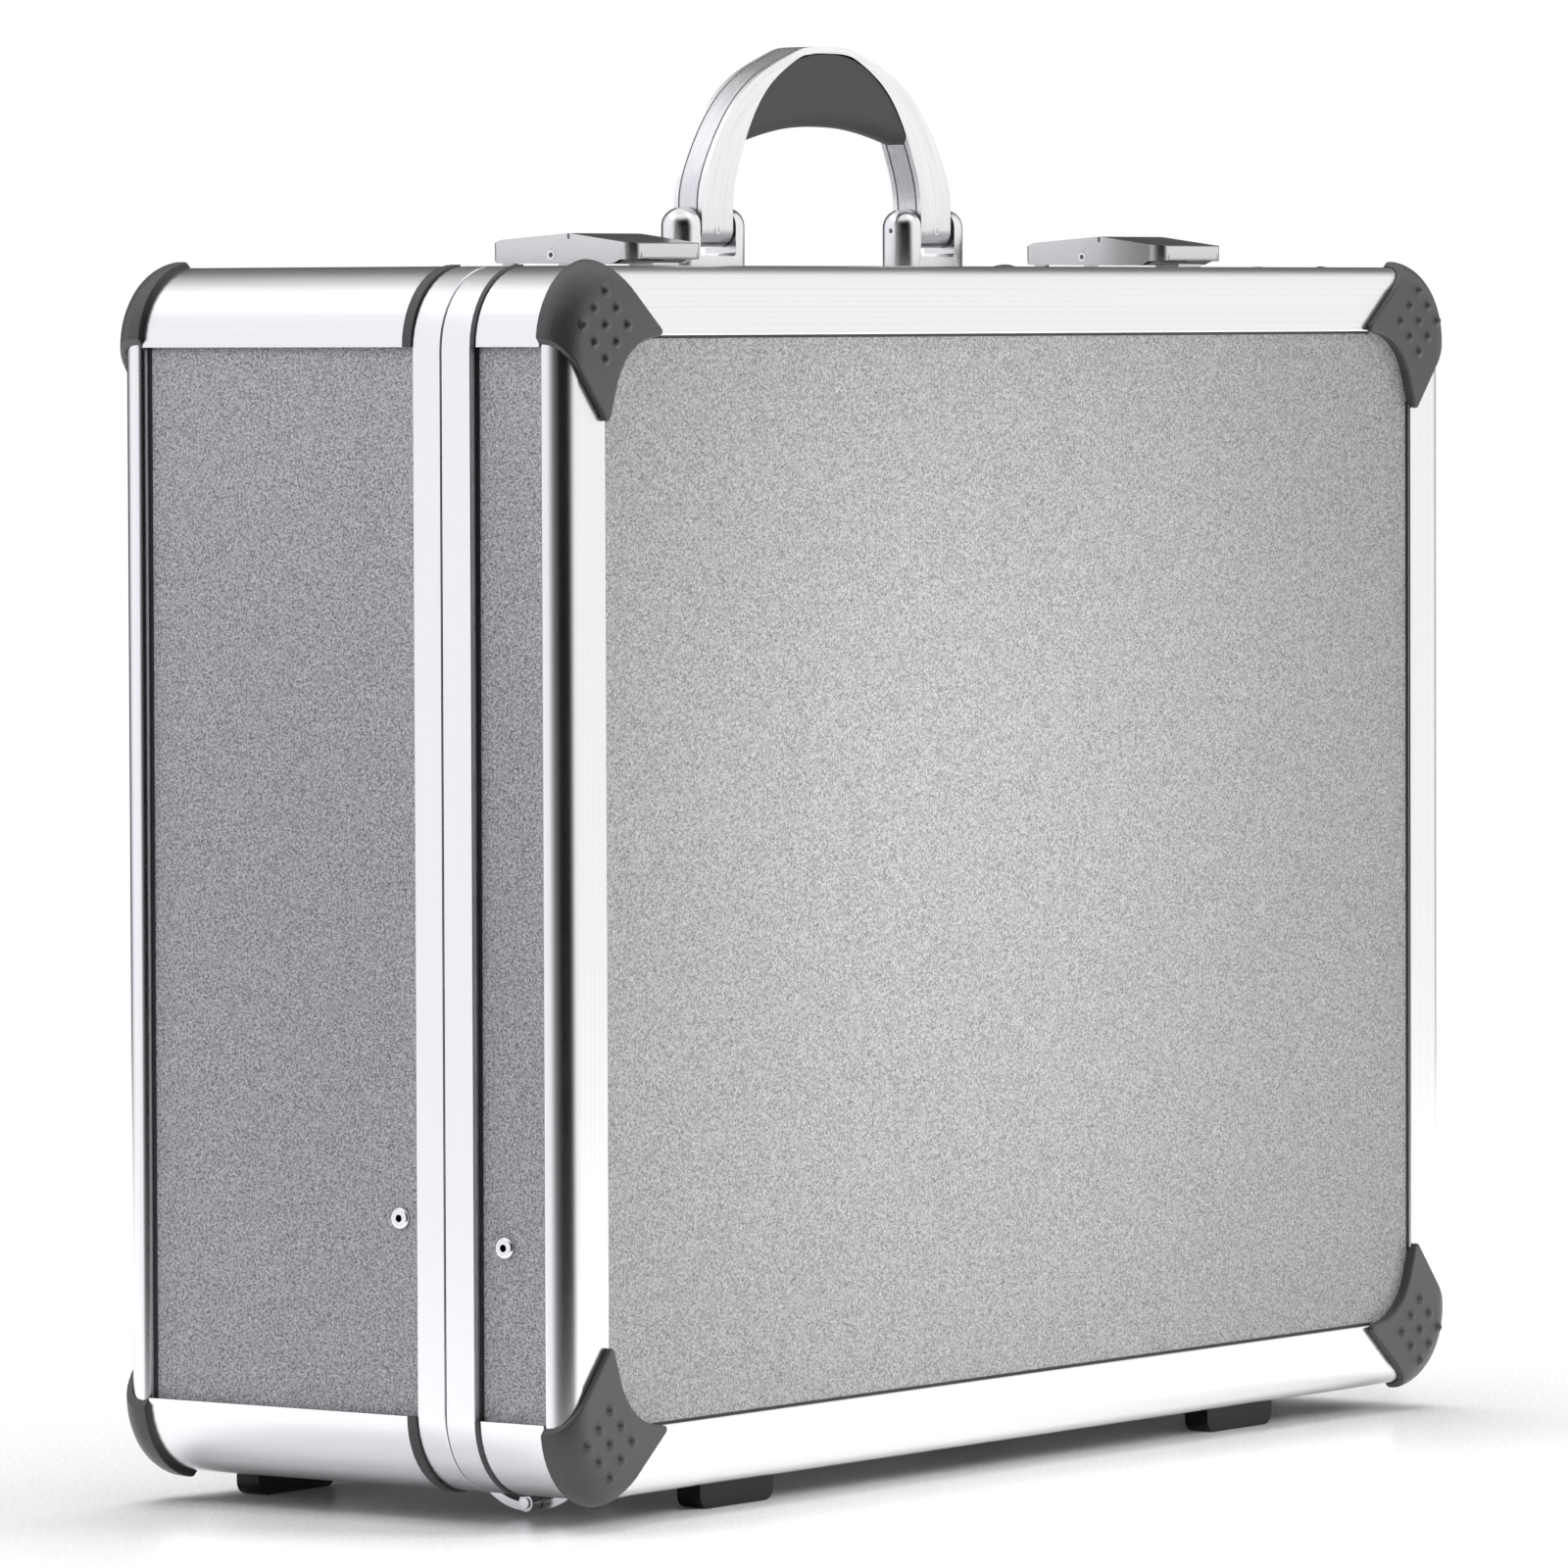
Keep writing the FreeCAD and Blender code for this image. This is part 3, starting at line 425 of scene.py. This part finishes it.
for n in ("front_corner_guards", "back_corner_guards"):
    moulded(n, 0.00040, 3)
for n in ("front_feet", "rear_feet"):
    soften(n, 0.0012)
for n in ("latch_lever_left", "latch_lever_right"):
    soften(n, 0.0005)
soften("handle_brackets", 0.0004)
for n in ("lid_closure_band", "body_closure_band"):
    soften(n, 0.0004)
for n in ("lid_collars", "body_collars"):
    soften(n, 0.0003)
for n in ("chip_rack_left", "chip_rack_right", "card_tray"):
    soften(n, 0.0009)


# ------------------------------------------------------------------ the two foams, as soft pieces
def cut_foam(name, lo, hi, y_flat, y_face, radius, bumps, step=0.004):
    """Foam slab between y_flat (glued side) and y_face, with rounded corners and a moulded face."""
    nx = int(round((hi.x - lo.x) / step))
    nz = int(round((hi.z - lo.z) / step))
    cx, cz = (lo.x + hi.x) / 2, (lo.z + hi.z) / 2
    hx, hz = (hi.x - lo.x) / 2, (hi.z - lo.z) / 2
    sgn = 1 if y_face > y_flat else -1

    def squeeze(u, v):
        """Square (-1..1) to the rounded rectangle."""
        x, z = u * hx, v * hz
        ax, az = abs(x), abs(z)
        ox, oz = ax - (hx - radius), az - (hz - radius)
        if ox > 0 and oz > 0:
            m = max(ox, oz)
            d = math.hypot(ox, oz)
            ox, oz = ox * m / d, oz * m / d
            ax, az = hx - radius + ox, hz - radius + oz
        return math.copysign(ax, x), math.copysign(az, z)

    bm = bmesh.new()
    front, back = [], []
    for j in range(nz + 1):
        fr, br = [], []
        for i in range(nx + 1):
            u, v = -1 + 2 * i / nx, -1 + 2 * j / nz
            x, z = squeeze(u, v)
            edge = min(1 - abs(u), 1 - abs(v))
            d_edge = min((1 - abs(u)) * hx, (1 - abs(v)) * hz)
            roll = min(1.0, d_edge / 0.012)
            h = math.sqrt(max(0.0, 1 - (1 - roll) ** 2))
            y = y_face - sgn * (0.0045 * (1 - h))
            wave = 0.0
            if bumps:
                wx, wz = math.sin(math.pi * x / bumps[0]), math.sin(math.pi * z / bumps[0])
                wave = (wx * wz) * 0.5 + 0.5
                wave = wave * wave * (3 - 2 * wave)
                y -= sgn * bumps[1] * (1 - wave) * h
            y += sgn * 0.00025 * math.sin(x * 310 + z * 170) * math.sin(z * 270 - x * 90) * h - sgn * 0.0003
            k = 1 - 0.0018 * (1 - h) / hx
            fr.append(bm.verts.new((cx + x * k, y, cz + z * k)))
            br.append(bm.verts.new((cx + x, y_flat, cz + z)))
        front.append(fr)
        back.append(br)
    for j in range(nz):
        for i in range(nx):
            q = (front[j][i], front[j][i + 1], front[j + 1][i + 1], front[j + 1][i])
            bm.faces.new(q)
            q = (back[j][i], back[j + 1][i], back[j + 1][i + 1], back[j][i + 1])
            bm.faces.new(q)
    ring = [(0, i) for i in range(nx)] + [(j, nx) for j in range(nz)] + [(nz, i) for i in range(nx, 0, -1)] + [(j, 0) for j in range(nz, 0, -1)]
    for k in range(len(ring)):
        a, b = ring[k], ring[(k + 1) % len(ring)]
        bm.faces.new((front[a[0]][a[1]], back[a[0]][a[1]], back[b[0]][b[1]], front[b[0]][b[1]]))
    bmesh.ops.recalc_face_normals(bm, faces=bm.faces)
    me = bpy.data.meshes.new(name)
    bm.to_mesh(me)
    bm.free()
    for p in me.polygons:
        p.use_smooth = True
    o = bpy.data.objects.new(name, me)
    scene.collection.objects.link(o)
    me.materials.append(M["foam"])
    return o


lo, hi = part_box("lid_foam")
lid_foam = cut_foam("lid_foam_convoluted", lo, hi, lo.y, hi.y, 0.020, (0.0155, 0.0085))
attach(lid_foam, "lid")
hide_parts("lid_foam")
lo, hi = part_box("foam_base")
base_foam = cut_foam("foam_base_block", lo, hi, hi.y, lo.y, 0.020, None, step=0.008)
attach(base_foam, "body")
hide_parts("foam_base")

# ------------------------------------------------------------------ dark strips between panels and frame: painted shade, black pieces put where the inner corners only fall into shadow
def strips(name, body, boxes):
    bm = bmesh.new()
    for lo_, hi_ in boxes:
        c = [(a + b) / 2 for a, b in zip(lo_, hi_)]
        d = [abs(b - a) for a, b in zip(lo_, hi_)]
        bmesh.ops.create_cube(bm, size=1.0, matrix=Matrix.Translation(c) @ Matrix.Diagonal((*d, 1)))
    me = bpy.data.meshes.new(name)
    bm.to_mesh(me)
    bm.free()
    o = bpy.data.objects.new(name, me)
    scene.collection.objects.link(o)
    me.materials.append(M["seal"])
    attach(o, body)
    return o


def ring(name, centre, r0, r1, body, mat, slot_name):
    """A thin flat ring facing -Y."""
    bm = bmesh.new()
    n = 40
    a, b, c, d = [], [], [], []
    for k in range(n):
        t = 2 * math.pi * k / n
        for lst, r, y in ((a, r0, 0.0), (b, r1, 0.0), (c, r1 - 0.00005, -0.00012), (d, r0 + 0.00005, -0.00012)):
            lst.append(bm.verts.new((centre[0] + r * math.cos(t), centre[1] + y, centre[2] + r * math.sin(t))))
    for k in range(n):
        j = (k + 1) % n
        for p, q in ((a, b), (b, c), (c, d), (d, a)):
            bm.faces.new((p[k], p[j], q[j], q[k]))
    bmesh.ops.recalc_face_normals(bm, faces=bm.faces)
    me = bpy.data.meshes.new(name)
    bm.to_mesh(me)
    bm.free()
    o = bpy.data.objects.new(name, me)
    scene.collection.objects.link(o)
    me.materials.append(M[mat])
    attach(o, body)
    return o


plate_lo, plate_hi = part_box("handle_side_plates")
for side in (-1, 1):
    ring("handle_rivet_ring_" + ("left" if side < 0 else "right"),
         (side * 0.0564, plate_lo.y, ZT + 0.0113), 0.0009, 0.00135, "handle", "pin", "handle_aluminium")

mm = 0.001
y_fe, y_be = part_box("lid_corner_profiles")[0].y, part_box("body_corner_profiles")[1].y
y_lb, y_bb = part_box("lid_closure_band")[0].y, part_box("body_closure_band")[1].y
T, R0, R1 = 0.9 * mm, 3.2 * mm - 0.35 * mm, 3.2 * mm + 0.3 * mm
# painted shade: black strips along the inner corners of the frame walls and beside the closure bands
for body, ya, yb in (("lid", y_fe, y_lb - T), ("body", y_be - T, y_bb)):
    bx = []
    for y in (ya, yb):
        bx.append(((XL + R0, y, ZB + 23 * mm), (XL + R1, y + T, ZT - 23 * mm)))
        bx.append(((XR - R1, y, ZB + 23 * mm), (XR - R0, y + T, ZT - 23 * mm)))
        bx.append(((XL + 23 * mm, y, ZT - R1), (XR - 23 * mm, y + T, ZT - R0)))
        bx.append(((XL + 23 * mm, y, ZB + R0), (XR - 23 * mm, y + T, ZB + R1)))
    strips(body + "_wall_painted_shade_lines", body, bx)
# painted shade: black strips on the front and back panels just inside the frame lip
for body, y, sg in (("lid", YF, 1), ("body", YB, -1)):
    f0, f1 = y + sg * 0.95 * mm, y + sg * 1.35 * mm
    a, b = sorted((f0, f1))
    L, W, E = 20 * mm, 0.75 * mm, 42 * mm
    bx = [((XL + L, a, ZB + E), (XL + L + W, b, ZT - E)), ((XR - L - W, a, ZB + E), (XR - L, b, ZT - E)),
          ((XL + E, a, ZT - L - W), (XR - E, b, ZT - L)), ((XL + E, a, ZB + L), (XR - E, b, ZB + L + W))]
    strips(body + "_panel_painted_shade_lines", body, bx)


# ------------------------------------------------------------------ floor
def disc(name, radius, rings, seg):
    bm = bmesh.new()
    prev = None
    centre = bm.verts.new((0, 0, 0))
    for r in range(1, rings + 1):
        rr = radius * (r / rings) ** 1.6
        cur = [bm.verts.new((rr * math.cos(2 * math.pi * k / seg), rr * math.sin(2 * math.pi * k / seg), 0)) for k in range(seg)]
        for k in range(seg):
            if prev is None:
                bm.faces.new((centre, cur[k], cur[(k + 1) % seg]))
            else:
                bm.faces.new((prev[k], cur[k], cur[(k + 1) % seg], prev[(k + 1) % seg]))
        prev = cur
    me = bpy.data.meshes.new(name)
    bm.to_mesh(me)
    bm.free()
    o = bpy.data.objects.new(name, me)
    scene.collection.objects.link(o)
    return o


floor = disc("studio_floor", 1.1, 12, 64)
floor.location = (0.5675, 0.41, -0.0001)
fm = Mat("studio_floor", (0.90, 0.90, 0.905), 0.22, 0.0, Specular_IOR_Level=0.3)
fg = fm.noise(900.0, 3.0, 0.6)
fm.tint(fg, 0.015)
fm.vary_rough(fm.noise(700.0, 2.0, 0.6), 0.06)
fm.bump(fg, 0.00008, 0.12)
# painted glow: the floor emits light, 0.02 near the case rising to 0.36 beyond 0.75 m out, so the far floor clips to
# white while the shade by the case stays
fs = fm.new("ShaderNodeVectorMath", operation="LENGTH")
fo = fm.new("ShaderNodeVectorMath", operation="ADD")
fm.link(fm.scaled(1, 1, 0), fo.inputs[0])
fo.inputs[1].default_value = (0.5675, 0.41, 0.0)
fm.link(fo.outputs[0], fs.inputs[0])
fm.b.inputs["Emission Color"].default_value = (1, 1, 1, 1)
fm.link(fm.remap(fs.outputs["Value"], 0.34, 0.75, 0.02, 0.36), fm.b.inputs["Emission Strength"])
floor.data.materials.append(fm.m)
floor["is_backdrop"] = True

# ------------------------------------------------------------------ world: soft boxes painted on a dome
world = bpy.data.worlds.new("studio")
scene.world = world
world.use_nodes = True
wt = world.node_tree
wt.nodes.clear()


def wn(kind, **props):
    n = wt.nodes.new(kind)
    for k, v in props.items():
        setattr(n, k, v)
    return n


def wmath(op, a, b=None, clamp=False):
    n = wn("ShaderNodeMath", operation=op, use_clamp=clamp)
    for i, v in enumerate((a, b)):
        if v is None:
            continue
        if isinstance(v, (int, float)):
            n.inputs[i].default_value = v
        else:
            wt.links.new(v, n.inputs[i])
    return n.outputs[0]


def wstep(x, a, b):
    n = wn("ShaderNodeMapRange", interpolation_type="SMOOTHSTEP")
    wt.links.new(x, n.inputs[0])
    n.inputs[1].default_value, n.inputs[2].default_value = a, b
    n.inputs[3].default_value, n.inputs[4].default_value = 0.0, 1.0
    return n.outputs[0]


def window(x, a, b, soft):
    return wmath("MULTIPLY", wstep(x, a - soft, a + soft), wmath("SUBTRACT", 1.0, wstep(x, b - soft, b + soft)))


coord = wn("ShaderNodeTexCoord").outputs["Generated"]
turn = wn("ShaderNodeMapping", vector_type="POINT")
wt.links.new(coord, turn.inputs[0])
turn.inputs["Rotation"].default_value = (0, 0, math.radians(-216))
sep = wn("ShaderNodeSeparateXYZ")
wt.links.new(turn.outputs[0], sep.inputs[0])
AZ = wmath("MULTIPLY", wmath("ARCTAN2", sep.outputs[1], sep.outputs[0]), 180 / math.pi)   # 0 is the camera's side
EL = wmath("MULTIPLY", wmath("ARCSINE", sep.outputs[2]), 180 / math.pi)

LIGHTS = [
    # (azimuth from, to, softness, elevation from, to, softness, rgb)
    (-130, -38, 18, -40, 55, 14, (0.95, 0.955, 1.0), 1.06),     # left soft box
    (66, 142, 17, -40, 55, 14, (1.0, 0.997, 0.99), 1.02),     # right soft box
    (-181, 181, 1, 46, 91, 15, (1.0, 1.0, 1.0), 1.02),         # overhead
]
BASE = 0.16
total = None
for a0, a1, sa, e0, e1, se, rgb, power in LIGHTS:
    f = wmath("MULTIPLY", window(AZ, a0, a1, sa), window(EL, e0, e1, se))
    f = wmath("MULTIPLY", f, power)
    c = wn("ShaderNodeCombineColor")
    for i in range(3):
        wt.links.new(wmath("MULTIPLY", f, rgb[i]), c.inputs[i])
    if total is None:
        total = c.outputs[0]
    else:
        mx_ = wn("ShaderNodeMix", data_type="RGBA", blend_type="ADD")
        mx_.inputs[0].default_value = 1.0
        wt.links.new(total, mx_.inputs[6])
        wt.links.new(c.outputs[0], mx_.inputs[7])
        total = mx_.outputs[2]
# base light, held back towards the camera's side and low behind the case
hold = wmath("MULTIPLY", window(AZ, -8, 78, 16), wmath("SUBTRACT", 1.0, wstep(EL, 30, 60)))
back = wmath("MULTIPLY", wmath("SUBTRACT", 1.0, window(AZ, -120, 150, 14)), wmath("SUBTRACT", 1.0, wstep(EL, 8, 24)))
keep = wmath("MULTIPLY", wmath("SUBTRACT", 1.0, wmath("MULTIPLY", hold, 0.97)), wmath("SUBTRACT", 1.0, wmath("MULTIPLY", back, 0.90)))
bf = wmath("MULTIPLY", keep, BASE)
c = wn("ShaderNodeCombineColor")
for i in range(3):
    wt.links.new(bf, c.inputs[i])
mx_ = wn("ShaderNodeMix", data_type="RGBA", blend_type="ADD")
mx_.inputs[0].default_value = 1.0
wt.links.new(total, mx_.inputs[6])
wt.links.new(c.outputs[0], mx_.inputs[7])
bg_light = wn("ShaderNodeBackground")
wt.links.new(mx_.outputs[2], bg_light.inputs[0])
bg_light.inputs[1].default_value = 1.0
bg_white = wn("ShaderNodeBackground")
bg_white.inputs[0].default_value = (1, 1, 1, 1)
bg_white.inputs[1].default_value = 1.0
path = wn("ShaderNodeLightPath")
mixs = wn("ShaderNodeMixShader")
wt.links.new(path.outputs["Is Camera Ray"], mixs.inputs[0])
wt.links.new(bg_light.outputs[0], mixs.inputs[1])
wt.links.new(bg_white.outputs[0], mixs.inputs[2])
wout = wn("ShaderNodeOutputWorld")
wt.links.new(mixs.outputs[0], wout.inputs[0])


# ------------------------------------------------------------------ lamps
def area(name, at, target, size, power, colour=(1, 1, 1), size_y=None):
    d = bpy.data.lights.new(name, "AREA")
    d.shape = "RECTANGLE"
    d.size = size
    d.size_y = size_y or size
    d.energy = power
    d.color = colour
    o = bpy.data.objects.new(name, d)
    scene.collection.objects.link(o)
    at, target = Vector(at), Vector(target)
    o.location = at
    o.rotation_mode = "QUATERNION"
    o.rotation_quaternion = (target - at).to_track_quat("-Z", "Y")
    o.visible_camera = False
    o.visible_glossy = False
    return o


area("overhead", (0.42, 0.36, 2.1), (0, 0, 0), 1.9, 54)
area("near_front", (-0.045, -0.38, 0.225), (-0.035, -0.08, 0.215), 0.16, 1.55, (1.0, 0.995, 0.985))
area("near_left", (-0.52, 0.02, 0.47), (-0.23, 0.02, 0.36), 0.2, 0.66, (0.97, 0.97, 1.0))

# ------------------------------------------------------------------ camera
yaw, pitch, roll = 0.9427599583602005, 0.04274765509359986, -0.003553160825814553
fwd = Vector((math.sin(yaw) * math.cos(pitch), math.cos(yaw) * math.cos(pitch), -math.sin(pitch)))
right = Vector((math.cos(yaw), -math.sin(yaw), 0))
up = right.cross(fwd)
r2 = right * math.cos(roll) + up * math.sin(roll)
u2 = -right * math.sin(roll) + up * math.cos(roll)
cd = bpy.data.cameras.new("camera")
cd.sensor_width = 36.0
cd.lens = 11179.93 / 1600 * 36
cd.dof.use_dof = False
cd.clip_start, cd.clip_end = 0.05, 60.0
cam = bpy.data.objects.new("camera", cd)
scene.collection.objects.link(cam)
mw = Matrix((r2, u2, -fwd)).transposed().to_4x4()
mw.translation = Vector((-2.68902, -1.94288, 0.34496))
cam.matrix_world = mw
scene.camera = cam
scene.view_settings.view_transform = "Standard"
scene.view_settings.look = "None"
scene.view_settings.exposure = 0.0
scene.view_settings.gamma = 1.0

# ------------------------------------------------------------------ sizes, then finish
lo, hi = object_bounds()
